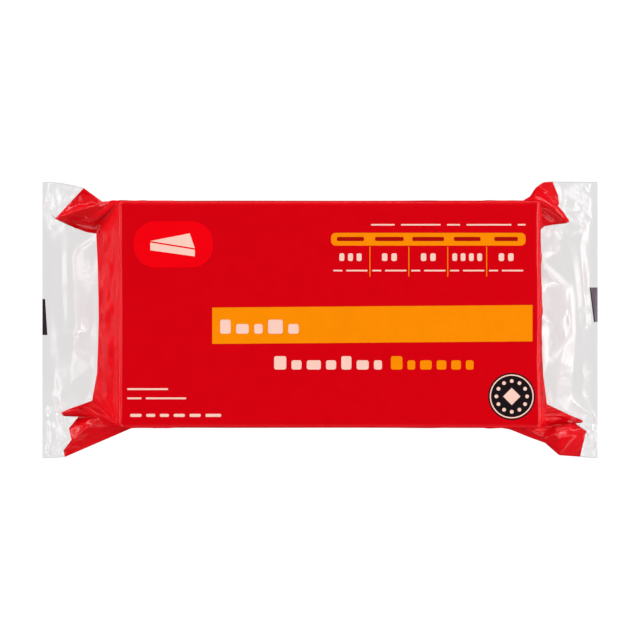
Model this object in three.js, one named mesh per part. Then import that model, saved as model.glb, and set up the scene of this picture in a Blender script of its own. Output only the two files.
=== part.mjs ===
// A block of cheddar in printed flow-wrap film, lying on its back with the printed face up.
// Millimetres, +Z up. The origin is on the table, under the middle of the pack's outline.
// +X runs along the block to the right-hand seal, and +Y across it.
//
// The film is a tube round the block. Past each end of the block it flattens half way up
// the end into a straight seal. The seal is wider than the block and narrower than half
// the tube, so the film of each side folds in between front and back as a gusset.

import * as THREE from "three";

// Driving dimensions of the block in its film
const BLOCK_LENGTH = 165;
const BLOCK_WIDTH = 88.5;
const BLOCK_HEIGHT = 57;
const LONG_EDGE_RADIUS = 3;
const END_EDGE_RADIUS = 3;
const BLOCK_X = 3.7; // the block sits a little off the middle of the pack
const BLOCK_Y = 2.1;

// Driving dimensions of the seals
const PACK_LENGTH = 221.8;
const PACK_WIDTH = 110.4;
const SEAL_HEIGHT = BLOCK_HEIGHT / 2;
const SEAL_THICKNESS = 1;
const SEAL_BULGE = 0.35; // how much further the two films part in the middle of a seal
const SEAL_FOLDS = 2.5; // gentle folds across the width of a seal
const SEAL_FOLD_HEIGHT = 0.7;
const SEAL_FOLD_FADE = 0.7; // power by which the folds die away towards the seal's long edges
const SEAL_FOLD_DRIFT = 0.9; // radians by which a fold wanders as it runs along the seal
const SEAL_DRIFT_LENGTH = 120;
const JOIN_GAP = 0.5;

// How the film leaves the block. Distances run outwards from the end of the block.
// slope: where the end panel meets the seal. lift: where the film of the side leaves the block.
// spread: where the corner reaches the full width of the seal. print: where the print stops.
const ENDS = {
  left: {
    direction: -1,
    slope: 9.4,
    foldPhase: 0.4,
    top: { lift: 3, spread: 20.5, print: 21.5 },
    bottom: { lift: -8, spread: 22, print: 23 },
  },
  right: {
    direction: 1,
    slope: 1.5,
    foldPhase: 2.1,
    top: { lift: -8, spread: 8, print: 11.5 },
    bottom: { lift: -18, spread: 12.5, print: 18 },
  },
};
const EAR_START = 27; // distance from the block's centre line where the ears begin to draw outwards
const EAR_FULL = 36.5;
const PRINT_PAST_SLOPE = 1;
const LEAVING_EASE = 0.45; // shares of an ear's run over which the film bends off the block
const SEALING_EASE = 0.4; // and over which it bends into the seal

// How finely the surfaces are split
const PANEL_STEPS = 3;
const EAR_STEPS = 5;
const EDGE_STEPS = 3;
const FLAP_STEPS = 2;
const GUSSET_STEPS = 4;
const END_STEPS = 9;
const SEAL_ROWS = 9;

const HALF_WIDTH = BLOCK_WIDTH / 2;
const HALF_HEIGHT = BLOCK_HEIGHT / 2;
const FLAT_HALF_WIDTH = HALF_WIDTH - LONG_EDGE_RADIUS;
const EDGE_ARC = (Math.PI / 2) * LONG_EDGE_RADIUS;

const { lerp, smoothstep } = THREE.MathUtils;

const PRINTED_FILM = new THREE.MeshStandardMaterial({ color: 0xdb0015, roughness: 0.3, metalness: 0 });
const CLEAR_FILM = new THREE.MeshStandardMaterial({
  color: 0xe6e8e8,
  roughness: 0.15,
  metalness: 0,
  transparent: true,
  opacity: 0.35,
});

// A closed geometry from a list of points and a list of triangles of point numbers.
function geometryOf(points, triangles) {
  const geometry = new THREE.BufferGeometry();
  geometry.setAttribute("position", new THREE.Float32BufferAttribute(points.flatMap((p) => p.toArray()), 3));
  geometry.setIndex(triangles.flat());
  geometry.computeVertexNormals();
  return geometry;
}

// The two triangles of a four-sided face.
const quad = (a, b, c, d) => [[a, b, c], [a, c, d]];

// Evenly spaced values from one to another, both included.
const evenStops = (from, to, steps) => Array.from({ length: steps + 1 }, (_, i) => lerp(from, to, i / steps));

// Distance from the block's centre line to the seal's edge on one side, +1 for top and -1 for bottom.
const sealReach = (side) => PACK_WIDTH / 2 - side * BLOCK_Y;

// Half the film of one side, from the middle of the printed face to the middle of the block's side.
// Each line of film has a point on the block's section and a point in the flat seal, both
// measured from the block's centre line and the height of the seal.
function quarterOfFilm(side) {
  const reach = sealReach(side);
  const foldDepth = reach - FLAT_HALF_WIDTH - EDGE_ARC;
  const foldHeight = HALF_HEIGHT - LONG_EDGE_RADIUS - foldDepth;
  const lines = [];
  const addPanelLine = (y, z, travelled) => {
    const along = travelled / reach;
    const film = SEAL_THICKNESS / 2 + SEAL_BULGE * (1 - along * along);
    lines.push({ folded: false, block: [y, z], seal: [travelled, film] });
  };
  const flatStops = [
    ...evenStops(0, EAR_START, PANEL_STEPS),
    ...evenStops(EAR_START, EAR_FULL, EAR_STEPS).slice(1),
    FLAT_HALF_WIDTH,
  ];
  flatStops.forEach((y) => addPanelLine(y, HALF_HEIGHT, y));
  for (let i = 1; i <= EDGE_STEPS; i++) {
    const turn = ((Math.PI / 2) * i) / EDGE_STEPS;
    addPanelLine(
      FLAT_HALF_WIDTH + LONG_EDGE_RADIUS * Math.sin(turn),
      HALF_HEIGHT - LONG_EDGE_RADIUS * (1 - Math.cos(turn)),
      FLAT_HALF_WIDTH + LONG_EDGE_RADIUS * turn,
    );
  }
  for (let i = 1; i <= FLAP_STEPS; i++) {
    const down = (foldDepth * i) / FLAP_STEPS;
    addPanelLine(HALF_WIDTH, HALF_HEIGHT - LONG_EDGE_RADIUS - down, FLAT_HALF_WIDTH + EDGE_ARC + down);
  }
  for (let i = 1; i <= GUSSET_STEPS; i++) {
    const part = i / GUSSET_STEPS;
    lines.push({
      folded: true,
      block: [HALF_WIDTH, foldHeight * (1 - part)],
      seal: [reach - foldHeight * part, (SEAL_THICKNESS / 2) * (1 - part) ** 2],
    });
  }
  return lines;
}

// The whole tube's lines of film in order, seen from the right-hand end: front, top, back, bottom.
function filmLines() {
  const placed = (line, side, half) => ({
    folded: line.folded,
    side,
    half,
    block: [side * line.block[0], half * line.block[1]],
    seal: [side * line.seal[0], half * line.seal[1]],
  });
  const top = quarterOfFilm(1);
  const bottom = quarterOfFilm(-1);
  const frontTop = top.map((line) => placed(line, 1, 1));
  const backTop = top.slice(0, -1).map((line) => placed(line, 1, -1)).reverse();
  const backBottom = bottom.slice(1).map((line) => placed(line, -1, -1));
  const frontBottom = bottom.slice(1, -1).map((line) => placed(line, -1, 1)).reverse();
  return [...frontTop, ...backTop, ...backBottom, ...frontBottom];
}

// How far a line of film at this distance from the centre line is drawn out into its ear, from 0 to 1.
const earShare = (y) => smoothstep(Math.abs(y), EAR_START, EAR_FULL);

// Where the print stops at this distance from the centre line.
function printReach(end, y) {
  const corner = y > 0 ? end.top : end.bottom;
  return lerp(end.slope + PRINT_PAST_SLOPE, corner.print, earShare(y));
}

// A point so far out from the end of the block, across its centre line and above the seal.
const packPoint = (end, out, y, z) =>
  new THREE.Vector3(BLOCK_X + end.direction * (BLOCK_LENGTH / 2 + out), BLOCK_Y + y, SEAL_HEIGHT + z);

// A point on one line of film, from 0 where it leaves the block to 1 where the print stops.
function filmPoint(end, line, share) {
  const corner = line.side > 0 ? end.top : end.bottom;
  const ear = earShare(line.seal[0]);
  const start = lerp(-END_EDGE_RADIUS, corner.lift, ear);
  const finish = lerp(end.slope, corner.spread, ear);
  const stop = printReach(end, line.seal[0]);
  const run = finish - start;
  const easeOut = lerp(END_EDGE_RADIUS, run * LEAVING_EASE, ear);
  const easeIn = lerp(Math.min(end.slope, END_EDGE_RADIUS) / 2, run * SEALING_EASE, ear);
  const path = new THREE.CubicBezierCurve3(
    new THREE.Vector3(start, ...line.block),
    new THREE.Vector3(start + easeOut, ...line.block),
    new THREE.Vector3(finish - easeIn, ...line.seal),
    new THREE.Vector3(finish, ...line.seal),
  );
  const lastBend = 1 - 1 / END_STEPS;
  const point = path.getPoint(Math.min(share / lastBend, 1));
  if (share > lastBend) point.x = lerp(finish, stop, (share - lastBend) / (1 - lastBend));
  return packPoint(end, point.x, point.y, point.z);
}

// The triangles between two chains of points that both run up the pack, each point a number and a y.
function zipped(chain, other) {
  const faces = [];
  let [i, j] = [0, 0];
  while (i + 1 < chain.length || j + 1 < other.length) {
    const chainMoves = j + 1 === other.length || (i + 1 < chain.length && chain[i + 1].y <= other[j + 1].y);
    const corner = chainMoves ? chain[i + 1] : other[j + 1];
    faces.push([chain[i].number, corner.number, other[j].number]);
    if (chainMoves) i++;
    else j++;
  }
  return faces.filter((face) => new Set(face).size === 3);
}

// Closes the open end of the tube where the print stops. Each half of the film is joined to
// the folded gussets and, between them, to a row of points half way between front and back.
function closeEnd(end, lines, ringStart, points, triangles) {
  const numbered = lines.map((line, i) => ({ ...line, number: ringStart + i, y: line.seal[0] }));
  const upwards = (a, b) => a.y - b.y;
  const folds = numbered.filter((line) => line.folded && line.block[1] === 0).sort(upwards);
  const middle = numbered
    .filter((line) => !line.folded && line.half > 0 && line.y > folds[0].y && line.y < folds[1].y)
    .map(({ y }) => {
      points.push(packPoint(end, printReach(end, y), y, 0));
      return { number: points.length - 1, y };
    });
  for (const half of [1, -1]) {
    const panel = numbered.filter((line) => !line.folded && line.half === half).sort(upwards);
    const legs = numbered.filter((line) => line.folded && line.half === half && line.block[1] !== 0);
    const inner = [...legs, ...folds, ...middle, panel[0], panel.at(-1)].sort(upwards);
    const faces = zipped(panel, inner);
    triangles.push(...(half * end.direction > 0 ? faces.map((face) => face.toReversed()) : faces));
  }
}

// The block in its printed film, out to where the print stops at both ends.
function wrappedBlock() {
  const lines = filmLines();
  const shares = evenStops(0, 1, END_STEPS);
  const rings = [
    ...shares.toReversed().map((share) => lines.map((line) => filmPoint(ENDS.left, line, share))),
    ...shares.map((share) => lines.map((line) => filmPoint(ENDS.right, line, share))),
  ];
  const count = lines.length;
  const triangles = [];
  for (let r = 0; r + 1 < rings.length; r++) {
    for (let i = 0; i < count; i++) {
      const next = (i + 1) % count;
      triangles.push(...quad(r * count + i, (r + 1) * count + i, (r + 1) * count + next, r * count + next));
    }
  }
  const points = rings.flat();
  closeEnd(ENDS.left, lines, 0, points, triangles);
  closeEnd(ENDS.right, lines, (rings.length - 1) * count, points, triangles);
  const mesh = new THREE.Mesh(geometryOf(points, triangles), PRINTED_FILM);
  mesh.name = "wrapped_block";
  return mesh;
}

// Height of the gentle folds that run along a seal, dying away towards both of its long edges.
function sealFold(end, along, across) {
  const fade = Math.sin(Math.PI * across) ** SEAL_FOLD_FADE;
  const drift = SEAL_FOLD_DRIFT * Math.sin((2 * Math.PI * along) / SEAL_DRIFT_LENGTH + end.foldPhase);
  return SEAL_FOLD_HEIGHT * fade * Math.sin(2 * Math.PI * SEAL_FOLDS * across + drift);
}

// Places across a seal, from its bottom edge to its top edge, that follow the lines of the printed film.
function sealColumns() {
  const across = (side) => quarterOfFilm(side).slice(0, -GUSSET_STEPS).map((line) => side * line.seal[0]);
  return [...across(-1).slice(1).reverse(), ...across(1)];
}

// The clear film past the print: a thin wavy sheet out to the straight cut edge.
function clearSeal(name, end) {
  const cut = PACK_LENGTH / 2 - end.direction * BLOCK_X - BLOCK_LENGTH / 2;
  const columns = sealColumns();
  const points = [];
  for (const face of [1, -1]) {
    for (const across of evenStops(0, 1, SEAL_ROWS)) {
      for (const y of columns) {
        const out = lerp(printReach(end, y) + JOIN_GAP, cut, across);
        points.push(packPoint(end, out, y, sealFold(end, y, across) + (face * SEAL_THICKNESS) / 2));
      }
    }
  }
  const wide = columns.length;
  const lastColumn = wide - 1;
  const faceSize = wide * (SEAL_ROWS + 1);
  const triangles = [];
  const addWall = (a, b) => triangles.push(...quad(a, a + faceSize, b + faceSize, b));
  for (let row = 0; row < SEAL_ROWS; row++) {
    for (let column = 0; column < lastColumn; column++) {
      const a = row * wide + column;
      const [upper, lower] = [quad(a, a + wide, a + wide + 1, a + 1), quad(a, a + 1, a + wide + 1, a + wide)];
      triangles.push(...upper, ...lower.map((face) => face.map((i) => i + faceSize)));
    }
    addWall(row * wide, (row + 1) * wide);
    addWall((row + 1) * wide + lastColumn, row * wide + lastColumn);
  }
  for (let column = 0; column < lastColumn; column++) {
    addWall(column + 1, column);
    addWall(SEAL_ROWS * wide + column, SEAL_ROWS * wide + column + 1);
  }
  if (end.direction < 0) triangles.forEach((face) => face.reverse());
  const mesh = new THREE.Mesh(geometryOf(points, triangles), CLEAR_FILM);
  mesh.name = name;
  return mesh;
}

const pack = new THREE.Group();
pack.name = "wrapped_cheddar_block";
pack.add(wrappedBlock());
pack.add(clearSeal("end_seal_left", ENDS.left));
pack.add(clearSeal("end_seal_right", ENDS.right));

export default pack;
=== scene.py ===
# %% [markdown]
# # A block of cheddar in printed film
#
# The object is a large block of cheddar, shut in a tube of glossy red film. Past each end of the
# block the tube is flattened and welded into a straight seal, and the print stops where the film
# turns into that seal, so the seals are clear. The corners stand out as folded red ears.
#
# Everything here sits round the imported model, which gives the overall box and the two seals.

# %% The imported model
import math

import bmesh
import bpy
import numpy as np
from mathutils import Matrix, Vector
from mathutils.geometry import delaunay_2d_cdt


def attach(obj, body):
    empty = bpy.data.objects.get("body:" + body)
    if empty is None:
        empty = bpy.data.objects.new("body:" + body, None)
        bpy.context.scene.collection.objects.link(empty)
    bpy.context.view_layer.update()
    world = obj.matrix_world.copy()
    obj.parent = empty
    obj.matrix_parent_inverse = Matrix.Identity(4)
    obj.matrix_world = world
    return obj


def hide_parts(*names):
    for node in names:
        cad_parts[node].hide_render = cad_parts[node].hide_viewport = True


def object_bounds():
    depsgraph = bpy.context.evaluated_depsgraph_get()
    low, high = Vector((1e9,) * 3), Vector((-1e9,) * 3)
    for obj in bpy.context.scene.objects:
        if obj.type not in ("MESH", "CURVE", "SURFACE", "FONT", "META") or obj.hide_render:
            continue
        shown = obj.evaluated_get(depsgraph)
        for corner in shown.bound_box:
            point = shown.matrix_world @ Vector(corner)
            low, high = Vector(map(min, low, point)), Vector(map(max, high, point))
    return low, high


MM_PER_METRE = 1000

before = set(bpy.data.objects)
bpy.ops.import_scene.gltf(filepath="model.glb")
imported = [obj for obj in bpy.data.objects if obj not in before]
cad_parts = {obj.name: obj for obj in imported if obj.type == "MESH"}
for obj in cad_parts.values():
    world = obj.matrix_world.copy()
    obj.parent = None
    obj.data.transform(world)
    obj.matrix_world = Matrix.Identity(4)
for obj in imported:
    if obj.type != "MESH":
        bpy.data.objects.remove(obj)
cad_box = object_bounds()
pack_low, pack_high = (np.array(corner) * MM_PER_METRE for corner in cad_box)
pack_length, pack_width, pack_height = pack_high - pack_low
print("packed model, mm:", (pack_high - pack_low).round(1))

# %% [markdown]
# ## The block and its film, measured
#
# The film is worked out in millimetres and scaled to metres when the meshes are made. The block
# is a little off the middle of the pack. The girth of the film is the girth of the block, so one
# number, the distance round the block from the middle of the printed face, names a line of film
# from one cut end to the other.

# %% Sizes of the block and the film
MM = 1 / MM_PER_METRE
BLOCK_LENGTH = 165.0
BLOCK_WIDTH = 89.0  # over the film
BLOCK_HEIGHT = pack_height
BLOCK_MIDDLE = np.array([3.7, 2.25, BLOCK_HEIGHT / 2])
EDGE_RADIUS = 1.8

FACE_HALF = BLOCK_WIDTH / 2 - EDGE_RADIUS
EDGE_ARC = math.pi / 2 * EDGE_RADIUS
HALF_GIRTH = FACE_HALF + EDGE_ARC + BLOCK_HEIGHT / 2 - EDGE_RADIUS
FILM_ON_BLOCK = 30.0  # film that is followed back over the block from its end
print("half the girth of the film, mm:", round(HALF_GIRTH, 1))


def block_section(girth):
    """Across and height of the block's surface at a girth, from the block's middle."""
    way = np.abs(girth)
    turn = np.clip((way - FACE_HALF) / EDGE_RADIUS, 0, math.pi / 2)
    across = np.minimum(way, FACE_HALF) + EDGE_RADIUS * np.sin(turn)
    drop = EDGE_RADIUS * (1 - np.cos(turn)) + np.maximum(way - FACE_HALF - EDGE_ARC, 0)
    return np.sign(girth) * across, BLOCK_HEIGHT / 2 - drop


# %% [markdown]
# ## The folds of the four ears
#
# The seal is wider than the block but narrower than half the girth, so the film of each corner is
# thrown into folds that run from the block out to the end of the print. Seven equal strips of
# film make a corner: fold 0 starts at the block's long edge and fold 7 at the middle of its side.
# A fold inside a strip has a fraction for its number, in sixths, because a strip gets six columns
# of film.
#
# Each fold says how far past the end of the block its film stays on the block, then the points
# it runs through, the last one where the print stops. A point is millimetres out from the end of
# the block, across from its centre line and up from the middle of the seal. Out and across are
# judged from the photograph. It can't show heights, so they are chosen to make each facet
# lean towards the light or away from it, as the real one does.
#
# The end panel between two ears has a row of places where its print stops, as out and height, at
# equal steps from the lower ear to the upper one.
#
# A random crumple would be easier, but these ears have a few large facets and clear outlines,
# and those have to be laid out one by one.

# %% Folds at each corner
def fold(leaves, *points):
    """Where a fold leaves the block, and the points that it runs through."""
    return {"leaves": leaves, "points": points}


FOLD_COUNT = 8
END_FOLDS = {
    "left": {
        "direction": -1,
        "panel_stop": (
            (12.2, 1.5),
            (10.0, 4.0),
            (9.4, 7.0),
            (9.1, 7.5),
            (9.3, 7.0),
            (9.8, 4.0),
            (10.5, 2.2),
        ),
        "top": {
            0: fold(-1.0, (9.4, 35.6, 3.4), (10.5, 32.2, 2.0)),
            1: fold(0.0, (4.0, 42.5, 20.0), (8.0, 39.0, 13.0), (13.0, 35.7, 2.6), (14.6, 32.9, 1.35)),
            2: fold(2.5, (18.1, 36.2, 1.7), (18.9, 34.5, 0.95)),
            3: fold(6.5, (26.9, 38.2, 1.5)),
            7: fold(7.4, (15.6, 50.5, 0.0)),
        },
        "bottom": {
            0: fold(-1.0, (12.2, -34.4, 1.5)),
            1: fold(-1.0, (14.5, -37.0, 9.0), (24.5, -39.2, 2.2)),
            1.5: fold(-1.5, (14.5, -39.2, 7.5), (23.5, -40.6, 1.0)),
            2: fold(-2.0, (8.5, -41.0, 11.0), (17.7, -40.9, 0.8)),
            3: fold(-2.5, (13.5, -42.5, 8.5), (21.3, -45.5, 2.5)),
            4: fold(-3.0, (12.7, -44.5, 10.5), (20.3, -50.0, 3.5)),
            6: fold(-5.0, (23.6, -54.4, 1.2)),
            7: fold(-5.8, (23.1, -57.0, 0.0)),
        },
    },
    "right": {
        "direction": 1,
        "panel_stop": (
            (4.4, 2.0),
            (2.8, 3.0),
            (2.0, 6.5),
            (1.8, 9.5),
            (1.8, 8.5),
            (1.8, 3.0),
            (1.7, 1.0),
        ),
        "top": {
            0: fold(-0.5, (1.7, 33.6, 1.0)),
            0.5: fold(-0.5, (0.6, 38.4, 5.2), (2.4, 34.3, 1.6)),
            1: fold(-0.5, (0.8, 39.6, 4.6), (3.6, 35.2, 1.4)),
            4 / 3: fold(-0.7, (0.9, 41.2, 5.8), (4.2, 38.0, 3.7), (6.6, 35.8, 1.8)),
            5 / 3: fold(-1.5, (1.2, 42.6, 5.1), (5.6, 39.2, 2.7), (9.8, 36.2, 1.3)),
            11 / 6: fold(-2.6, (-1.5, 44.8, 16.8), (2.6, 43.1, 13.3), (7.1, 40.7, 8.3), (12.2, 36.5, 1.6)),
            2: fold(-3.0, (-1.8, 45.9, 17.5), (2.2, 44.3, 14.0), (6.9, 42.1, 9.0), (13.2, 37.0, 1.8)),
            13 / 6: fold(-3.3, (-1.2, 46.8, 17.0), (2.8, 45.3, 13.5), (7.5, 43.1, 8.4), (13.0, 37.9, 1.6)),
            2.5: fold(-4.0, (-1.5, 46.4, 15.5), (2.5, 44.7, 11.0), (7.0, 42.4, 5.5), (10.4, 39.7, 1.4)),
            3: fold(-5.5, (-3.0, 46.4, 13.0), (1.1, 45.4, 9.5), (7.6, 42.2, 2.6)),
            4: fold(-5.0, (1.0, 47.2, 7.0), (9.1, 43.9, 3.2)),
            5.5: fold(-4.6, (1.0, 49.8, 3.4), (8.8, 47.4, 2.3)),
            7: fold(-6.5, (-2.3, 47.2, 0.0), (0.0, 50.7, 0.0), (3.0, 52.8, 0.0), (6.7, 53.1, 0.0)),
        },
        "bottom": {
            0: fold(-0.5, (4.4, -35.9, 2.0)),
            0.5: fold(-0.8, (1.6, -38.6, 6.9), (7.6, -37.3, 3.0)),
            1: fold(-1.0, (2.2, -39.4, 6.7), (10.9, -38.9, 3.2)),
            4 / 3: fold(-1.5, (2.8, -40.4, 7.4), (8.5, -40.0, 5.2), (13.6, -40.2, 2.9)),
            5 / 3: fold(-1.8, (3.4, -41.0, 6.8), (9.5, -41.0, 4.6), (16.0, -41.2, 2.2)),
            2: fold(-2.0, (4.0, -42.0, 7.2), (10.5, -42.0, 4.9), (18.3, -42.1, 2.0)),
            2.5: fold(-3.0, (4.0, -43.2, 6.4), (10.5, -43.0, 3.9), (18.6, -43.1, 1.0)),
            3: fold(-4.0, (4.5, -44.8, 5.5), (15.6, -43.2, 1.0)),
            23 / 6: fold(-7.0, (2.3, -47.7, 9.6), (7.4, -44.9, 9.1), (12.2, -43.5, 5.6), (15.6, -43.3, 1.6)),
            4: fold(-8.0, (2.9, -49.2, 11.0), (8.0, -46.4, 10.5), (12.8, -45.0, 7.0), (15.8, -43.6, 2.2)),
            5: fold(-11.0, (9.0, -49.5, 8.0), (20.0, -46.5, 2.6)),
            6: fold(-15.0, (8.5, -53.0, 4.0), (19.0, -50.8, 1.8)),
            7: fold(
                -20.0,
                (-8.4, -46.2, 0.0),
                (-1.8, -48.5, 0.0),
                (2.7, -50.5, 0.0),
                (9.3, -56.3, 0.0),
                (17.7, -56.9, 0.0),
            ),
        },
    },
}
for end_name, end in END_FOLDS.items():
    print(end_name, "end, folds laid out:", len(end["top"]) + len(end["bottom"]))

# %% [markdown]
# ## Lines of film
#
# The film becomes rows and columns of points. A column is one line of film from the block to the
# cut edge: over the end of the block it runs down a slanting panel, and in the ears it lies
# between two folds. Past the print it runs out to the cut, over the facets of the clear film.
# Every fold has a column of its own, so that its crease is an edge of the mesh.

# %% Columns round the film and rows along it
COLUMNS_PER_STRIP = 6
FACE_COLUMNS = 100
PRINT_ROWS = 70
CLEAR_ROWS = 36
FRONT_LAYER = 0.2  # height of the front film of the seal above its middle

FOLDS_START = FACE_HALF + EDGE_ARC / 2
strip_count = (FOLD_COUNT - 1) * COLUMNS_PER_STRIP
ear_girth = np.linspace(FOLDS_START, HALF_GIRTH, strip_count + 1)
face_girth = np.linspace(-FOLDS_START, FOLDS_START, FACE_COLUMNS)
girth = np.concatenate([-ear_girth[::-1], face_girth[1:-1], ear_girth])
fold_place = np.arange(strip_count + 1) / COLUMNS_PER_STRIP
print("columns of film from one side of the block to the other:", len(girth))


def smooth_step(value, low, high):
    """From 0 at the low value to 1 at the high one, level at both."""
    share = np.clip((value - low) / (high - low), 0, 1)
    return share * share * (3 - 2 * share)


def cut_distance(end):
    """From the end of the block out to the cut edge of the seal."""
    return pack_length / 2 - end["direction"] * BLOCK_MIDDLE[0] - BLOCK_LENGTH / 2


def even_points(line, count):
    """A line through points, as a number of points at equal steps along it."""
    line = np.asarray(line, float)
    length = np.pad(np.cumsum(np.linalg.norm(np.diff(line, axis=0), axis=1)), (1, 0))
    steps = np.linspace(0, length[-1], count)
    return np.stack([np.interp(steps, length, line[:, axis]) for axis in range(3)], axis=1)


# %% Lines of the ears and of the end panel
EDGE_STEPS = 6


def ear_lines(folds, side):
    """Lines of film from the block to the end of the print, for the columns of one corner."""
    given = {}
    for number, laid in folds.items():
        across, height = block_section(side * np.interp(number, fold_place, ear_girth))
        on_block = [(-FILM_ON_BLOCK, across, height), (laid["leaves"], across, height)]
        given[number] = even_points([*on_block, *laid["points"]], PRINT_ROWS)
    numbers = sorted(given)
    lines = []
    for place in fold_place:
        after = next(number for number in numbers if number >= place)
        before = max(number for number in numbers if number <= place)
        share = (place - before) / (after - before) if after > before else 0
        lines.append(given[before] * (1 - share) + given[after] * share)
    return np.array(lines)


def panel_lines(end):
    """Lines of film from the printed face over the end of the block to the end of the print."""
    top, bottom = end["top"][0]["points"][-1], end["bottom"][0]["points"][-1]
    share = face_girth / FOLDS_START
    places = np.linspace(-1, 1, len(end["panel_stop"]))
    stop_out, stop_height = (np.interp(share, places, values) for values in zip(*end["panel_stop"]))
    stop_across = np.interp(share, (-1, 1), (bottom[1], top[1]))
    lines = []
    for across, height, *stop in zip(*block_section(face_girth), stop_out, stop_across, stop_height):
        steepest = math.atan2(height - EDGE_RADIUS - stop[2], stop[0])
        turns = np.linspace(0, steepest, EDGE_STEPS)
        edge = [
            (EDGE_RADIUS * (math.sin(turn) - 1), across, height + EDGE_RADIUS * (math.cos(turn) - 1))
            for turn in turns
        ]
        lines.append(even_points([(-FILM_ON_BLOCK, across, height), *edge, stop], PRINT_ROWS))
    return np.array(lines)


# %% [markdown]
# Clear film that has been squeezed and let go is a set of flat facets with straight creases
# between them. The main creases are laid out one by one, each a line of points with a height above
# the middle of the seal: the largest facet slants from the end of the print down to the seal.
# Random points, the same on every run, add a low relief, finer in the corners, where the film is
# crumpled most. In both cases triangles between the points are the facets.

# %% Creases in the clear film
CLEAR_CREASES = {  # out from the block's end, across from its middle, height
    "left": (
        ((13.5, 30.0, 1.4), (17.5, 27.5, 1.3), (20.0, 24.0, 1.0), (19.4, 6.0, 0.9), (18.4, -6.0, 0.9)),
        ((12.5, 28.0, 2.6), (16.4, 25.5, 2.3), (18.2, 22.0, 1.8), (17.6, 6.0, 1.8), (16.6, -5.6, 2.0)),
        ((18.4, -6.0, 0.9), (19.5, -14.0, 0.9), (21.0, -22.0, 1.2), (20.5, -27.2, 1.7)),
        ((22.4, 30.0, 0.9), (22.0, 10.0, 0.9), (21.6, -6.0, 0.8)),
        ((26.0, 36.0, 0.5), (24.4, 26.0, 0.2), (24.0, 8.0, 0.2), (23.8, -6.0, 0.3)),
        ((28.0, -8.6, 0.5), (23.6, -8.2, 0.8), (20.0, -8.0, 1.1), (14.0, -7.8, 4.3)),
        ((12.0, -21.0, 3.6), (17.5, -25.0, 2.2), (24.0, -30.0, 1.5), (28.5, -33.0, 0.6)),
    ),
    "right": (
        ((3.2, 21.4, 1.2), (8.6, 17.0, 1.0), (13.4, 12.2, 0.8), (14.8, 2.0, 0.7), (15.8, -6.8, 0.7)),
        ((2.8, 18.6, 2.2), (7.2, 14.6, 2.0), (11.4, 10.8, 1.7), (12.8, 1.6, 1.5), (13.8, -6.0, 1.5)),
        ((15.8, -6.8, 0.7), (9.0, -13.6, 2.6), (3.4, -18.6, 4.2)),
        ((15.8, -6.8, 0.7), (15.4, -16.0, 0.6), (14.8, -26.0, 0.7), (14.4, -34.0, 0.9)),
        ((13.2, 28.8, 0.8), (15.4, 17.0, 0.3), (16.4, 6.0, 0.2), (17.0, -4.0, 0.4)),
        ((17.2, 27.6, 1.0), (18.6, 14.0, 1.4), (20.2, -4.4, 1.0)),
        ((19.4, 27.0, 0.3), (20.8, 14.0, 0.4), (22.0, -4.4, 0.3)),
        ((3.6, -3.2, 8.9), (9.0, -3.4, 5.4), (13.0, -3.6, 2.4)),
        ((9.4, 30.4, 1.1), (11.0, 24.0, 0.5), (13.0, 18.0, 0.5)),
        ((20.0, -12.0, 0.4), (19.4, -22.0, 1.0), (18.6, -31.0, 0.5)),
    ),
}
CREASE_STEP = 2.5
PRINT_END_STEP = 3  # columns
WELD_WIDTH = 5.0
WELD_STEP = 8.0
RELIEF_SIZE = (5.0, 13.0)  # out and across
CORNER_RELIEF_SIZE = (4.0, 4.5)
CORNER_START = 35.0
RELIEF_RISE = (0.0, 0.9)
CORNER_RELIEF_RISE = (0.0, 1.4)
RELIEF_SCATTER = 0.45  # shift of a relief point, as a share of the spacing
SAME_PLACE = 1e-4


def crease_points(name, end, print_end):
    """Points on the main creases, the end of the print and the weld, as out, across and height."""
    points = [print_end[::PRINT_END_STEP]]
    for crease in CLEAR_CREASES[name]:
        length = sum(math.dist(one, other) for one, other in zip(crease, crease[1:]))
        points.append(even_points(crease, round(length / CREASE_STEP) + 1))
    weld = np.arange(-pack_width, pack_width, WELD_STEP)
    for inside, height in ((WELD_WIDTH, FRONT_LAYER), (-WELD_WIDTH, 0)):
        out = np.full_like(weld, cut_distance(end) - inside)
        points.append(np.stack([out, weld, np.full_like(weld, height)], axis=1))
    return np.concatenate(points)


def relief_points(end, generator):
    """Random points of the low relief, as out, across and rise."""
    edges = (-pack_width / 2, -CORNER_START, CORNER_START, pack_width / 2)
    sizes = (CORNER_RELIEF_SIZE, RELIEF_SIZE, CORNER_RELIEF_SIZE)
    rises = (CORNER_RELIEF_RISE, RELIEF_RISE, CORNER_RELIEF_RISE)
    points = []
    for low, high, size, rise in zip(edges, edges[1:], sizes, rises):
        for out in np.arange(-size[0], cut_distance(end) + 2 * size[0], size[0]):
            for across in np.arange(low, high, size[1]):
                shift = generator.uniform(-RELIEF_SCATTER, RELIEF_SCATTER, 2) * size
                points.append((out + shift[0], across + shift[1], generator.uniform(*rise)))
    return np.array(points)


def facet_height(out, across, points):
    """Height, over places on the seal, of the triangles between points."""
    flat = [Vector(point[:2]) for point in points]
    corners, _, triangles, sources, _, _ = delaunay_2d_cdt(flat, [], [], 0, SAME_PLACE)
    height = np.zeros_like(out)
    for triangle in triangles:
        (ax, ay), (bx, by), (cx, cy) = (corners[i] for i in triangle)
        a_height, b_height, c_height = (points[sources[i][0]][2] for i in triangle)
        area = (bx - ax) * (cy - ay) - (cx - ax) * (by - ay)
        b_share = ((out - ax) * (cy - ay) - (cx - ax) * (across - ay)) / area
        c_share = ((bx - ax) * (across - ay) - (out - ax) * (by - ay)) / area
        inside = (b_share >= 0) & (c_share >= 0) & (b_share + c_share <= 1)
        above = a_height + b_share * (b_height - a_height) + c_share * (c_height - a_height)
        height = np.where(inside, above, height)
    return height


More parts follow.
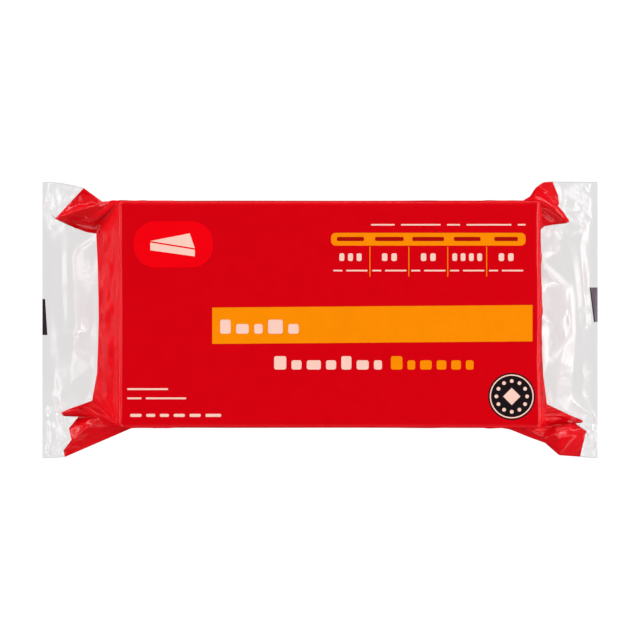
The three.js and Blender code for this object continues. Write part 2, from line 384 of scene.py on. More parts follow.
# %% Film of one end, before it settles
SPREAD_POWERS = np.array([1, 2, 1])  # out, across and height: the film widens before it runs out
RELIEF_STARTS = (0.0, 0.15)  # as shares of the way from the end of the print to the cut
RELIEF_STOPS = (0.1, 0.3)  # as shares of the way back from the cut


def laid_film(name, end, generator):
    """Film points as rows out from the block and columns round it, measured from the block's end."""
    bottom_ear = ear_lines(end["bottom"], -1)[::-1]
    top_ear = ear_lines(end["top"], 1)
    printed = np.concatenate([bottom_ear, panel_lines(end)[1:-1], top_ear])
    reach = pack_width / 2 - np.sign(girth) * BLOCK_MIDDLE[1]
    cut_across = girth / HALF_GIRTH * reach
    share = np.linspace(0, 1, CLEAR_ROWS + 1)[None, 1:, None]
    stop = printed[:, -1:]
    cut = np.stack([np.full_like(girth, cut_distance(end)), cut_across, 0 * girth], axis=1)[:, None]
    spread = 1 - (1 - share) ** SPREAD_POWERS
    clear = stop + (cut - stop) * spread
    out, across, share = clear[..., 0], clear[..., 1], share[..., 0]
    window = smooth_step(share, *RELIEF_STARTS) * smooth_step(1 - share, *RELIEF_STOPS)
    relief = facet_height(out, across, relief_points(end, generator))
    creases = facet_height(out, across, crease_points(name, end, stop[:, 0]))
    clear[..., 2] = creases + window * relief
    return np.concatenate([printed, clear], axis=1).transpose(1, 0, 2)


# %% [markdown]
# ## Letting the film settle
#
# Laid out like that the film is too neat. Real film hardly stretches, and where a little of it is
# spare it buckles. A cloth simulation would show that, and so does a much smaller method: every
# pair of neighbouring points is moved a little towards its true distance, again and again, while
# the points stay off the block and above the middle of the seal. The distances are those of the
# film as it was laid, times the spare length. Points two, four and eight steps apart are kept
# from coming closer, which keeps the folds and makes the creases as long as those of stiff film.
# The pairs are grouped so that no point is in a group twice, and each group is then one line of
# array arithmetic.

# %% Pairs of points
STRETCH_FIRMNESS = 0.9
SHEAR_FIRMNESS = 0.3
BEND_FIRMNESS = {2: 0.2, 4: 0.08, 8: 0.03}  # by how many steps the points are apart
SHORTEST = 1e-9  # length added so that nothing is divided by zero
LEAST = 1e-6


def pair_group(points, spare, one, other, firmness, only_push):
    """Pairs of points with the distance that they keep. Some only push, and never pull."""
    distance = np.linalg.norm(points[other] - points[one], axis=-1)
    return one, other, distance * (spare[one] + spare[other]) / 2, firmness, only_push


def film_pairs(points, spare):
    """Groups of pairs of points, the distance each keeps, and how firmly."""
    rows, columns = points.shape[:2]
    every = slice(None)
    left, right = slice(0, columns - 1), slice(1, columns)
    groups = []
    for first in (0, 1):
        row = np.arange(first, rows - 1, 2)
        column = np.arange(first, columns - 1, 2)
        for one, other, firmness in (
            ((row, every), (row + 1, every), STRETCH_FIRMNESS),
            ((every, column), (every, column + 1), STRETCH_FIRMNESS),
            ((row, left), (row + 1, right), SHEAR_FIRMNESS),
            ((row, right), (row + 1, left), SHEAR_FIRMNESS),
        ):
            groups.append(pair_group(points, spare, one, other, firmness, False))
    for gap, firmness in BEND_FIRMNESS.items():
        for first in range(2 * gap):
            row = np.arange(first, rows - gap, 2 * gap)
            column = np.arange(first, columns - gap, 2 * gap)
            for one, other in (
                ((row, every), (row + gap, every)),
                ((every, column), (every, column + gap)),
            ):
                groups.append(pair_group(points, spare, one, other, firmness, True))
    return groups


def keep_distances(points, loose, groups):
    """Moves the points of each pair towards the distance that they keep."""
    for one, other, distance, firmness, only_push in groups:
        apart = points[other] - points[one]
        length = np.linalg.norm(apart, axis=-1) + SHORTEST
        error = length - distance
        if only_push:
            error = np.minimum(error, 0)
        weight = np.maximum(loose[one] + loose[other], LEAST)
        move = (firmness * error / (length * weight))[..., None] * apart
        points[one] += loose[one][..., None] * move
        points[other] -= loose[other][..., None] * move


# %% Keeping the film off the block
def push_off_block(points, loose):
    """Moves points that are inside the rounded block out to its nearest surface."""
    core = np.array([BLOCK_LENGTH, BLOCK_WIDTH, BLOCK_HEIGHT]) / 2 - EDGE_RADIUS
    from_middle = points + np.array([BLOCK_LENGTH / 2, 0, 0])
    past_core = np.abs(from_middle) - core
    outside = np.maximum(past_core, 0)
    distance = np.linalg.norm(outside, axis=-1, keepdims=True)
    out_of_core = outside / np.maximum(distance, LEAST) * (EDGE_RADIUS - distance)
    nearest = np.argmax(past_core, axis=-1)[..., None]
    depth = EDGE_RADIUS - np.take_along_axis(past_core, nearest, -1)
    out_of_face = np.zeros_like(points)
    np.put_along_axis(out_of_face, nearest, depth, -1)
    push = np.where(distance > LEAST, out_of_core, out_of_face) * np.sign(from_middle)
    points += np.where(distance < EDGE_RADIUS, push, 0) * loose[..., None]


# %% [markdown]
# A sheet that is perfectly even never buckles, so each point first gets a small random nudge,
# the same on every run. How much film is spare changes from place to place in the same way. The
# web of an ear, between the block and its outer facets, is gathered and has the most spare film,
# in small pleats. The smooth lobe outside it has none, and the end panel has faint creases. The
# face, the film further back on the block and the welded edge stay still, and the end of the
# print is held softly where it was laid.

# %% Pleats and spare film
WEB_FOLDS = 3.0
NUDGE_SPACING = (6, 6)  # rows and columns
PLEAT = 0.3
PLEAT_SPACING = (24, 3)
PLEATED_ROWS = (0.4, 0.6)  # where pleats start and are full, as shares of the printed rows
PLEAT_FADE_ROWS = (1, 6)  # rows before the end of the print
PANEL_CREASE = 0.3
PANEL_CREASE_SPACING = (7, 24)
SPARE_IN_PANEL = 0.012
SPARE_IN_WEB = 0.035
SPARE_IN_LOBE = 0.012
SPARE_IN_SEAL = 0.001
SPARE_IN_SEAL_CORNERS = 0.012
SPARE_VARIES = 0.5
SPARE_ROWS = (0.45, 0.65)


def soft_noise(shape, spacing, generator):
    """Random numbers that change smoothly from point to point, over a number of rows and columns."""
    rows, columns = shape
    coarse = generator.normal(size=(rows // spacing[0] + 2, columns // spacing[1] + 2))
    row_place = np.linspace(0, coarse.shape[0] - 1, rows)
    column_place = np.linspace(0, coarse.shape[1] - 1, columns)
    by_row = np.array([np.interp(row_place, np.arange(len(v)), v) for v in coarse.T]).T
    return np.array([np.interp(column_place, np.arange(len(v)), v) for v in by_row])


def spare_film(generator):
    """How much longer the film is than it was laid, for each point."""
    row = np.arange(PRINT_ROWS + CLEAR_ROWS)[:, None]
    in_ear = (np.abs(girth) >= FOLDS_START)[None, :]
    in_web = np.abs(girth)[None, :] < np.interp(WEB_FOLDS, fold_place, ear_girth)
    printed = np.where(in_ear, np.where(in_web, SPARE_IN_WEB, SPARE_IN_LOBE), SPARE_IN_PANEL)
    printed = printed * smooth_step(row, *(share * PRINT_ROWS for share in SPARE_ROWS))
    clear = np.where(in_ear, SPARE_IN_SEAL_CORNERS, SPARE_IN_SEAL)
    uneven = 1 + SPARE_VARIES * soft_noise((len(row), len(girth)), NUDGE_SPACING, generator)
    return 1 + np.where(row < PRINT_ROWS, printed, clear) * np.maximum(uneven, 0)


def pleats(points, generator):
    """Random shifts of the printed film: pleats out along the ears, creases along the end panel."""
    shape = points.shape[:2]
    row = np.arange(len(points))[:, None]
    in_ear = (np.abs(girth) >= FOLDS_START)[None, :]
    strength = smooth_step(row, *(share * PRINT_ROWS for share in PLEATED_ROWS))
    strength = strength * smooth_step(PRINT_ROWS - row, *PLEAT_FADE_ROWS)
    web = 1 - smooth_step(np.abs(girth), *np.interp((WEB_FOLDS - 1, WEB_FOLDS), fold_place, ear_girth))
    pleat = PLEAT * soft_noise(shape, PLEAT_SPACING, generator) * web
    crease = PANEL_CREASE * soft_noise(shape, PANEL_CREASE_SPACING, generator)
    along, round_film = np.gradient(points, axis=(0, 1))
    outward = np.cross(round_film, along)
    outward /= np.linalg.norm(outward, axis=-1, keepdims=True) + SHORTEST
    return (strength * np.where(in_ear, pleat, crease))[..., None] * outward


# %% Settling the film of both ends
RANDOM_SEED = 5
SETTLING_ROUNDS = 250
NUDGE = 0.25
STILL_ROWS = 10
WELD_SHARE = 0.25
HOLD = 0.3
FACE_MARGIN = 0.01


def settled_film(name, end):
    """Film of one end, pleated, nudged and settled."""
    generator = np.random.default_rng(RANDOM_SEED)
    points = laid_film(name, end, generator)
    shape = points.shape[:2]
    on_face = points[..., 2] > BLOCK_HEIGHT / 2 - FACE_MARGIN
    points += np.where(on_face[..., None], 0, pleats(points, generator))
    groups = film_pairs(points, spare_film(generator))
    loose = np.ones(shape)
    loose[:STILL_ROWS] = 0
    loose[-round(WELD_SHARE * CLEAR_ROWS) :] = 0
    loose[on_face] = 0
    loose[:, [0, -1]] = 0
    lowest = np.full(len(girth), FRONT_LAYER)
    lowest[[0, -1]] = 0

    print_end = points[PRINT_ROWS - 1].copy()
    nudges = np.stack([soft_noise(shape, NUDGE_SPACING, generator) for _ in range(3)], axis=-1)
    nudges[PRINT_ROWS:] = 0
    points += NUDGE * nudges * loose[..., None]
    for _ in range(SETTLING_ROUNDS):
        keep_distances(points, loose, groups)
        points[PRINT_ROWS - 1] += HOLD * (print_end - points[PRINT_ROWS - 1])
        push_off_block(points, loose)
        points[..., 2] = np.clip(points[..., 2], lowest, BLOCK_HEIGHT / 2)
        points[:, [0, -1], 2] = 0
    print(name, "film settled, rows and columns:", shape)
    return points


def in_pack(end, points):
    """Points measured from the end of the block, in the pack's own frame."""
    out = BLOCK_LENGTH / 2 + points[..., 0]
    return BLOCK_MIDDLE + np.stack([end["direction"] * out, points[..., 1], points[..., 2]], axis=-1)


settled_ends = {name: in_pack(end, settled_film(name, end)) for name, end in END_FOLDS.items()}

# %% [markdown]
# ## One tube
#
# The two ends and the stretch between them become one sheet of rows and columns. The back is the
# front turned over. Film on cheese is never quite flat, so the printed face gets a slow swell of a
# tenth of a millimetre, which breaks up the reflections, and the long sides get a larger one. A
# noise texture would do it too, but two or three sine waves are easier to tune. The print uses the
# same swell as the face, so that it lies on the film.

# %% Swell of the film on the block
SWELL = 0.1
SWELL_FADE = 14.0
FACE_WAVE, FACE_BEND, FACE_BEND_WAVE = 13.0, 0.9, 17.0
CROSS_SHARE, CROSS_WAVE, CROSS_SLANT, CROSS_START = 0.8, 11.0, 31.0, 1.3
SIDE_SWELL = 0.25
SIDE_WAVE, SIDE_START, SIDE_HEIGHT_WAVE = 14.0, 0.6, 9.0
LONG_SHARE, LONG_WAVE, LONG_START = 0.7, 23.0, -0.8


def face_swell(x, y):
    """Height of the slow waves in the film on the printed face."""
    to_end = BLOCK_LENGTH / 2 - np.abs(x - BLOCK_MIDDLE[0])
    to_side = BLOCK_WIDTH / 2 - np.abs(y - BLOCK_MIDDLE[1])
    along = np.sin(x / FACE_WAVE + FACE_BEND * np.sin(y / FACE_BEND_WAVE))
    across = CROSS_SHARE * np.sin(y / CROSS_WAVE - x / CROSS_SLANT + CROSS_START)
    return SWELL * (along + across) * smooth_step(np.minimum(to_end, to_side), 0, SWELL_FADE)


def side_swell(x, height):
    """Outward bulge of the film on the long sides, the same above and below the middle."""
    up = np.abs(height - BLOCK_MIDDLE[2])
    short = np.sin(x / SIDE_WAVE + SIDE_START) * np.cos(up / SIDE_HEIGHT_WAVE)
    long = LONG_SHARE * np.sin(x / LONG_WAVE + LONG_START)
    to_end = BLOCK_LENGTH / 2 - np.abs(x - BLOCK_MIDDLE[0])
    fade = smooth_step(to_end, FILM_ON_BLOCK, FILM_ON_BLOCK + SWELL_FADE)
    to_edge = smooth_step(BLOCK_HEIGHT / 2 - up, EDGE_RADIUS, SWELL_FADE)
    return SIDE_SWELL * (1 + short + long) * fade * to_edge


# %% The whole film as rows and columns
MIDDLE_ROWS = 40


def whole_front():
    """Front of the film from cut to cut, with even rows between the two ends."""
    left = settled_ends["left"][::-1]
    right = settled_ends["right"]
    share = np.linspace(0, 1, MIDDLE_ROWS + 2)[1:-1, None, None]
    middle = left[-1] * (1 - share) + right[0] * share
    return np.concatenate([left, middle, right])


front = whole_front()
on_side = (np.abs(girth) > FOLDS_START)[None, :]
front[..., 1] += np.where(on_side, np.sign(girth) * side_swell(front[..., 0], front[..., 2]), 0)
back = front * np.array([1, 1, -1]) + np.array([0, 0, BLOCK_HEIGHT])
on_top = front[..., 2] > BLOCK_HEIGHT - EDGE_RADIUS / 2
front[..., 2] += np.where(on_top, face_swell(front[..., 0], front[..., 1]), 0)
tube = np.concatenate([front, back[:, -2:0:-1]], axis=1)
left_print_row = CLEAR_ROWS
right_print_row = len(tube) - 1 - CLEAR_ROWS
over_face = np.linalg.norm(np.diff(tube[:, len(girth) // 2], axis=0), axis=-1).sum()
print("film rows and columns:", tube.shape[:2], "print from row", left_print_row, "to", right_print_row)
print("film from cut to cut over the middle of the face, mm:", over_face.round(1))

# %% [markdown]
# ## Printed film and clear film
#
# On the real pack this is one sheet. It is cut into three pieces where the print stops, because
# a see-through surface needs its own finish. The cells are small enough to hold every crease, so
# there is no subdivision, and smooth shading rounds what is left of the steps between them.

# %% Pieces of film
def film_piece(name, rows, replaced_node):
    """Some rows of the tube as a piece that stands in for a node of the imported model."""
    points = tube[rows]
    row_count, column_count = points.shape[:2]
    number = np.arange(row_count * column_count).reshape(row_count, column_count)
    following = np.roll(number, -1, axis=1)
    faces = np.stack([number[:-1], number[1:], following[1:], following[:-1]], axis=-1)
    mesh = bpy.data.meshes.new(name)
    mesh.from_pydata((points.reshape(-1, 3) * MM).tolist(), [], faces.reshape(-1, 4).tolist())
    mesh.shade_smooth()
    piece = bpy.data.objects.new(name, mesh)
    bpy.context.scene.collection.objects.link(piece)
    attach(piece, "root")
    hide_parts(replaced_node)
    print(name, "faces:", len(mesh.polygons))
    return piece


printed_rows = slice(left_print_row, right_print_row + 1)
left_rows = slice(0, left_print_row + 1)
right_rows = slice(right_print_row, len(tube))
printed_film = film_piece("printed_film", printed_rows, "wrapped_block")
clear_film_left = film_piece("clear_film_left", left_rows, "end_seal_left")
clear_film_right = film_piece("clear_film_right", right_rows, "end_seal_right")

# %% [markdown]
# ## The finish of the printed film
#
# The ink is printed inside a glossy film, so the red is deep and the reflections are white. The
# gloss is a little uneven where the film has been handled, which a soft noise in the roughness
# shows. A second, finer noise moves the red by a few per cent.

# %% Glossy ink
RED_INK = (0.67, 0.0005, 0.005)
CREAM_INK = (1.0, 0.62, 0.52)
ORANGE_INK = (0.98, 0.265, 0.001)
BRIGHT_RED_INK = (0.91, 0.0005, 0.005)
DARK_INK = (0.012, 0.008, 0.01)
DEEP_RED_INK = (0.4, 0.004, 0.003)
VIOLET_INK = (0.035, 0.022, 0.035)
PALE_VIOLET_INK = (0.22, 0.2, 0.25)
INK_TONES = (0.95, 1.04)  # darkest and lightest, as shares of an ink's colour
INK_ROUGHNESS = (0.13, 0.22)
INK_IOR = 1.5
INK_GLOSS = 0.22
HANDLING_SCALE, HANDLING_DETAIL = 45, 3
GRAIN_SCALE = 160


def glossy_ink(name, colour):
    """Ink of one colour under glossy film."""
    material = bpy.data.materials.new(name)
    material.use_nodes = True
    nodes, links = material.node_tree.nodes, material.node_tree.links
    shader = nodes["Principled BSDF"]
    place = nodes.new("ShaderNodeTexCoord")

    handling = nodes.new("ShaderNodeTexNoise")
    handling.inputs["Scale"].default_value = HANDLING_SCALE
    handling.inputs["Detail"].default_value = HANDLING_DETAIL
    links.new(place.outputs["Object"], handling.inputs["Vector"])
    dullness = nodes.new("ShaderNodeMapRange")
    dullness.inputs["To Min"].default_value, dullness.inputs["To Max"].default_value = INK_ROUGHNESS
    links.new(handling.outputs["Fac"], dullness.inputs["Value"])
    links.new(dullness.outputs["Result"], shader.inputs["Roughness"])

    grain = nodes.new("ShaderNodeTexNoise")
    grain.inputs["Scale"].default_value = GRAIN_SCALE
    links.new(place.outputs["Object"], grain.inputs["Vector"])
    tone = nodes.new("ShaderNodeMix")
    tone.data_type = "RGBA"
    for socket, share in zip(("A", "B"), INK_TONES):
        tone.inputs[socket].default_value = (*(min(share * part, 1) for part in colour), 1)
    links.new(grain.outputs["Fac"], tone.inputs["Factor"])
    links.new(tone.outputs["Result"], shader.inputs["Base Color"])
    shader.inputs["IOR"].default_value = INK_IOR
    shader.inputs["Specular IOR Level"].default_value = INK_GLOSS
    return material


printed_film.data.materials.append(glossy_ink("red_ink_under_film", RED_INK))
print("finish of the printed film:", printed_film.data.materials[0].name)

# %% [markdown]
# ## The finish of the clear film
#
# Clear film passes nearly all the light and mirrors the rest, more at a slant. A glass shader
# would bend the light, which film is too thin to do. So a Fresnel factor mixes a see-through
# shader with a glossy one, and has an upper limit, so that steep folds don't turn into mirrors.
# The see-through part is slightly grey, because film takes a little of the light.

# %% Clear glossy film
CLEAR_SHARE = 0.912  # of the light, through one layer
CLEAR_ROUGHNESS = 0.25
CLEAR_IOR = 1.8
MOST_GLOSS = 0.16


def clear_film_finish():
    """Thin clear film that mirrors more at a slant."""
    material = bpy.data.materials.new("clear_film")
    material.use_nodes = True
    nodes, links = material.node_tree.nodes, material.node_tree.links
    nodes.remove(nodes["Principled BSDF"])
    through = nodes.new("ShaderNodeBsdfTransparent")
    through.inputs["Color"].default_value = (CLEAR_SHARE, CLEAR_SHARE, CLEAR_SHARE, 1)
    gloss = nodes.new("ShaderNodeBsdfGlossy")
    gloss.inputs["Roughness"].default_value = CLEAR_ROUGHNESS
    fresnel = nodes.new("ShaderNodeFresnel")
    fresnel.inputs["IOR"].default_value = CLEAR_IOR
    limit = nodes.new("ShaderNodeMath")
    limit.operation = "MINIMUM"
    limit.inputs[1].default_value = MOST_GLOSS
    links.new(fresnel.outputs["Fac"], limit.inputs[0])
    mix = nodes.new("ShaderNodeMixShader")
    links.new(limit.outputs["Value"], mix.inputs["Fac"])
    links.new(through.outputs["BSDF"], mix.inputs[1])
    links.new(gloss.outputs["BSDF"], mix.inputs[2])
    links.new(mix.outputs["Shader"], nodes["Material Output"].inputs["Surface"])
    return material


clear_finish = clear_film_finish()
for piece in (clear_film_left, clear_film_right):
    piece.data.materials.append(clear_finish)
print("finish of the clear film:", clear_finish.name)

# %% [markdown]
# ## The print
#
# The print is fields of colour and plain shapes, each ink one thin piece that lies on the film.
# A pattern in the film's own shader would do too, but it would be spread over a large surface
# and come out soft in the exported model, while a piece keeps crisp edges. Each shape is an
# outline, filled, cut into small cells so that it can follow the film, and lifted by a few
# hundredths of a millimetre. Its place is measured from the middle of the printed face.

# %% Flat shapes on the printed face
INK_LIFT = 0.05
INK_CELL = 2.5
INK_LAYER = 0.03
CORNER_STEPS = 5
QUARTER = 90


def on_face(x, y, lift):
    """A place on the printed face, measured from its middle, as a point on the pack."""
    x, y = x + BLOCK_MIDDLE[0], y + BLOCK_MIDDLE[1]
    return Vector((x, y, BLOCK_HEIGHT + face_swell(x, y) + lift)) * MM


def around(x, y, radius, turn):
    """A place on a circle."""
    return x + radius * math.cos(turn), y + radius * math.sin(turn)


def bar(left, right, bottom, top, radius=0.0, steps=CORNER_STEPS):
    """Outline of a rectangle with rounded corners."""
    if radius == 0:
        return [(left, bottom), (right, bottom), (right, top), (left, top)]
    corners = [
        (right - radius, top - radius),
        (left + radius, top - radius),
        (left + radius, bottom + radius),
        (right - radius, bottom + radius),
    ]
    return [
        around(x, y, radius, math.radians(turn + QUARTER * number))
        for number, (x, y) in enumerate(corners)
        for turn in np.linspace(0, QUARTER, steps + 1)
    ]


def disc(x, y, radius, sides):
    """Outline of a disc."""
    return [around(x, y, radius, turn) for turn in np.linspace(0, 2 * math.pi, sides, endpoint=False)]


# %% An ink as a thin piece
def flat_shapes(outlines, rings):
    """Outlines filled, and rings between two outlines, cut into small cells."""
    shapes = bmesh.new()
    for outline in outlines:
        shapes.faces.new([shapes.verts.new((x, y, 0)) for x, y in outline])
    for outer, inner in rings:
        count = len(outer)
        outside = [shapes.verts.new((x, y, 0)) for x, y in outer]
        inside = [shapes.verts.new((x, y, 0)) for x, y in inner]
        for i in range(count):
            after = (i + 1) % count
            shapes.faces.new([outside[i], outside[after], inside[after], inside[i]])
    for axis, half in ((Vector((1, 0, 0)), BLOCK_LENGTH / 2), (Vector((0, 1, 0)), BLOCK_WIDTH / 2)):
        for place in np.arange(-half, half, INK_CELL):
            everything = shapes.verts[:] + shapes.edges[:] + shapes.faces[:]
            bmesh.ops.bisect_plane(shapes, geom=everything, plane_co=axis * place, plane_no=axis)
    return shapes


def printed_piece(name, mesh, colour):
    """A mesh as a piece of print on the pack."""
    mesh.materials.append(glossy_ink(name, colour))
    piece = bpy.data.objects.new(name, mesh)
    bpy.context.scene.collection.objects.link(piece)
    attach(piece, "root")
    print(name, "faces:", len(mesh.polygons))


def ink_piece(name, outlines, colour, layer=0, rings=()):
    """One ink's shapes as a thin piece on the printed face."""
    shapes = flat_shapes(outlines, rings)
    for vert in shapes.verts:
        vert.co = on_face(vert.co.x, vert.co.y, INK_LIFT + layer * INK_LAYER)
    mesh = bpy.data.meshes.new(name)
    shapes.to_mesh(mesh)
    shapes.free()
    mesh.shade_smooth()
    printed_piece(name, mesh, colour)


# %% [markdown]
# The broad orange band runs off towards the right-hand end and is printed very slightly askew.
# Rows of rounded tiles stand at its start and below it, pale and orange. A tile is as wide as its
# share of the row, and the first of a group is taller.

# %% Band and rows of tiles
BAND_LEFT, BAND_RIGHT = -45.8, 79.3
BAND_BOTTOM, BAND_TOP = -11.1, 3.1
BAND_SKEW = 0.5
TILE_GAP = 2.6  # in the units of the widths
TILE_TALL = 1.45
TILE_ROUNDING = 0.22
TILE_CORNER_STEPS = 4
UPPER_TILES = {"left": -42.7, "right": -12.0, "bottom": -7.6, "height": 3.8, "tall": (0, 3)}
LOWER_TILES = {"left": -21.6, "right": 20.5, "bottom": -21.6, "height": 3.6, "tall": (0, 4)}
ORANGE_TILES = {"left": 24.0, "right": 56.3, "bottom": -21.6, "height": 3.6, "tall": (0,)}


def spread_out(left, right, widths, gap):
    """Left and right edges of things of the given widths, spread to fill a line."""
    scale = (right - left) / (sum(widths) + gap * (len(widths) - 1))
    for width in widths:
        yield left, left + width * scale
        left += (width + gap) * scale


def tile_row(widths, left, right, bottom, height, tall=(), gap=TILE_GAP):
    """A row of rounded tiles that stand on one line, some of them taller."""
    outlines = []
    for number, edges in enumerate(spread_out(left, right, widths, gap)):
        top = bottom + height * (TILE_TALL if number in tall else 1)
        outlines.append(bar(*edges, bottom, top, TILE_ROUNDING * height, TILE_CORNER_STEPS))
    return outlines


band = [
    (BAND_LEFT, BAND_BOTTOM - BAND_SKEW),
    (BAND_RIGHT, BAND_BOTTOM + BAND_SKEW),
    (BAND_RIGHT, BAND_TOP + BAND_SKEW),
    (BAND_LEFT, BAND_TOP - BAND_SKEW),
]
cream_tiles = tile_row((5, 6, 4, 7, 5), **UPPER_TILES) + tile_row((6, 5, 7, 5, 5, 6, 4), **LOWER_TILES)
orange_tiles = tile_row((6, 4, 6, 5, 5, 4), **ORANGE_TILES)
print("tiles, cream and orange:", len(cream_tiles), len(orange_tiles))

# %% [markdown]
# At the top right is a small table: a rounded orange heading with dark red bars in it, thin
# dividers, and in each column a few bold pale tiles over a fine broken line. Above the table and
# at the lower left are rows of short pale dashes.

# %% Table
TABLE_LEFT, TABLE_RIGHT = 0.6, 76.6
HEADING_BOTTOM, HEADING_TOP, HEADING_ROUNDING = 26.8, 31.8, 1.8
HEADING_BAR_WIDTHS = (10.6, 11.2, 12.4, 10.4, 9.2)
HEADING_BAR_BOTTOM, HEADING_BAR_TOP, HEADING_BAR_ROUNDING = 28.6, 30.2, 0.5
DIVIDER_BOTTOM, DIVIDER_TOP, DIVIDER_WIDTH = 14.7, 26.4, 0.35
BOLD_COUNTS = (3, 2, 2, 4, 2)
BOLD_SPACING, BOLD_WIDTH, BOLD_GAP = 2.9, 1.8, 1.3
BOLD_BOTTOM, BOLD_HEIGHT = 20.8, 3.0
FINE_WIDTH, FINE_BOTTOM, FINE_TOP = 13.4, 16.75, 17.35
FINE_DASHES, FINE_GAP = (3, 7), 1.2
DASH_ROUNDING = 0.4
SMALL_CORNER_STEPS = 3


def dashes(left, right, bottom, top, widths, gap):
    """A row of short bars of the given widths, spread to fill a line."""
    radius = DASH_ROUNDING * (top - bottom)
    return [
        bar(*edges, bottom, top, radius, SMALL_CORNER_STEPS)
        for edges in spread_out(left, right, widths, gap)
    ]


def heading_bar(middle, width):
    """A dark bar in the heading, over one column."""
    edges = (middle - width / 2, middle + width / 2)
    return bar(*edges, HEADING_BAR_BOTTOM, HEADING_BAR_TOP, HEADING_BAR_ROUNDING, SMALL_CORNER_STEPS)


def divider(place):
    """A thin line between two columns."""
    return bar(place - DIVIDER_WIDTH / 2, place + DIVIDER_WIDTH / 2, DIVIDER_BOTTOM, DIVIDER_TOP)


def bold_row(middle, count):
    """The bold tiles of one column."""
    half = count * BOLD_SPACING / 2
    widths = (BOLD_WIDTH,) * count
    return tile_row(widths, middle - half, middle + half, BOLD_BOTTOM, BOLD_HEIGHT, gap=BOLD_GAP)


def fine_row(middle):
    """The fine broken line of one column."""
    half = FINE_WIDTH / 2
    return dashes(middle - half, middle + half, FINE_BOTTOM, FINE_TOP, FINE_DASHES, FINE_GAP)


column_edges = np.linspace(TABLE_LEFT, TABLE_RIGHT, len(BOLD_COUNTS) + 1)
column_middles = (column_edges[:-1] + column_edges[1:]) / 2
heading = bar(TABLE_LEFT, TABLE_RIGHT, HEADING_BOTTOM, HEADING_TOP, HEADING_ROUNDING)
dividers = [divider(edge) for edge in column_edges[1:-1]]
heading_bars = [heading_bar(*bar_place) for bar_place in zip(column_middles, HEADING_BAR_WIDTHS)]
bold_tiles = [tile for column in zip(column_middles, BOLD_COUNTS) for tile in bold_row(*column)]
fine_bars = [dash for middle in column_middles for dash in fine_row(middle)]
print("table columns:", len(column_middles), "bold tiles:", len(bold_tiles))

# %% Rows of small dashes
DASH_ROWS = (  # left, right, bottom and top of a row, the widths of its dashes and their gap
    (16.2, 76.6, 34.65, 35.25, (9, 15, 5, 17, 3), 2.4),
    (-79.0, -63.0, -29.6, -28.9, (1,), 0),
    (-79.0, -56.0, -33.2, -32.5, (6, 17), 1.8),
    (-77.8, -42.3, -40.1, -38.9, (5, 4, 4, 5, 5, 7), 2.1),
)

small_dashes = [dash for row in DASH_ROWS for dash in dashes(*row)]
print("small dashes:", len(small_dashes))

# %% [markdown]
# Two marks finish the face: a bright pill with a wedge of cheese in it at the upper left, and a
# dark round one at the lower right with a ring and a circle of dots. Both are plain devices.

# %% Pill and round mark
PILL = {"left": -76.6, "right": -45.4, "bottom": 18.2, "top": 36.4, "radius": 8.6, "steps": 10}
WEDGE_LEFT, WEDGE_RIGHT, WEDGE_BACK = -70.0, -52.6, (-54.6, 31.6)
RIND_LEFT, RIND_RIGHT = (25.0, 28.0), (22.6, 25.2)  # bottom and top of the wedge's side
RIND_GAP = 0.6
ROUND_MIDDLE, ROUND_RADIUS, ROUND_SIDES = (71.2, -32.1), 9.2, 64
RIM_RADII = (8.6, 8.1)
DOT_COUNT, DOT_CIRCLE, DOT_RADIUS, DOT_SIDES = 12, 6.0, 0.75, 16
DIAMOND_REACH, DIAMOND_SIDES = 3.4, 4

pill = bar(**PILL)
wedge_side = [
    (WEDGE_LEFT, RIND_LEFT[0]),
    (WEDGE_RIGHT, RIND_RIGHT[0]),
    (WEDGE_RIGHT, RIND_RIGHT[1]),
    (WEDGE_LEFT, RIND_LEFT[1]),
]
wedge_top = [(WEDGE_LEFT, RIND_LEFT[1] + RIND_GAP), (WEDGE_RIGHT, RIND_RIGHT[1] + RIND_GAP), WEDGE_BACK]
round_mark = disc(*ROUND_MIDDLE, ROUND_RADIUS, ROUND_SIDES)
round_rim = [disc(*ROUND_MIDDLE, radius, ROUND_SIDES) for radius in RIM_RADII]
dots = [disc(*place, DOT_RADIUS, DOT_SIDES) for place in disc(*ROUND_MIDDLE, DOT_CIRCLE, DOT_COUNT)]
diamond = disc(*ROUND_MIDDLE, DIAMOND_REACH, DIAMOND_SIDES)
print("dots in the round mark:", len(dots))

# %% The inks, one piece each
ink_piece("orange_print", [band, *orange_tiles, heading, *dividers], ORANGE_INK)
ink_piece("bright_red_print", [pill], BRIGHT_RED_INK)
ink_piece("dark_print", [round_mark], DARK_INK)
ink_piece("deep_red_print", heading_bars, DEEP_RED_INK, layer=1)
cream_shapes = [*cream_tiles, *bold_tiles, *fine_bars, *small_dashes, wedge_side, wedge_top, *dots, diamond]
ink_piece("cream_print", cream_shapes, CREAM_INK, layer=1, rings=[round_rim])

# %% [markdown]
# ## Register marks on the cut edges
#
# A dark patch on each cut edge is what the wrapping machine reads to cut the film in the right
# place. The cut goes through it, so only a sliver is left on each end. The sliver on the right is
# paler, with a dark edge. The corners are measured in from the cut and across the pack.

# %% Register marks
LEFT_CUT, RIGHT_CUT = (pack_low[0], 1), (pack_high[0], -1)  # place, and the way in from it
REGISTER_MARKS = (
    ("register_mark_left", LEFT_CUT, ((0, -6.0), (2.0, -6.0), (1.1, 8.4), (0, 8.4)), VIOLET_INK, 0),
    ("register_mark_right", RIGHT_CUT, ((1.4, -0.8), (0, -0.8), (0, 13.0), (3.2, 13.0)), PALE_VIOLET_INK, 0),
    ("register_mark_edge", RIGHT_CUT, ((1.5, -0.8), (1.0, -0.8), (2.8, 13.0), (3.2, 13.0)), VIOLET_INK, 1),
)


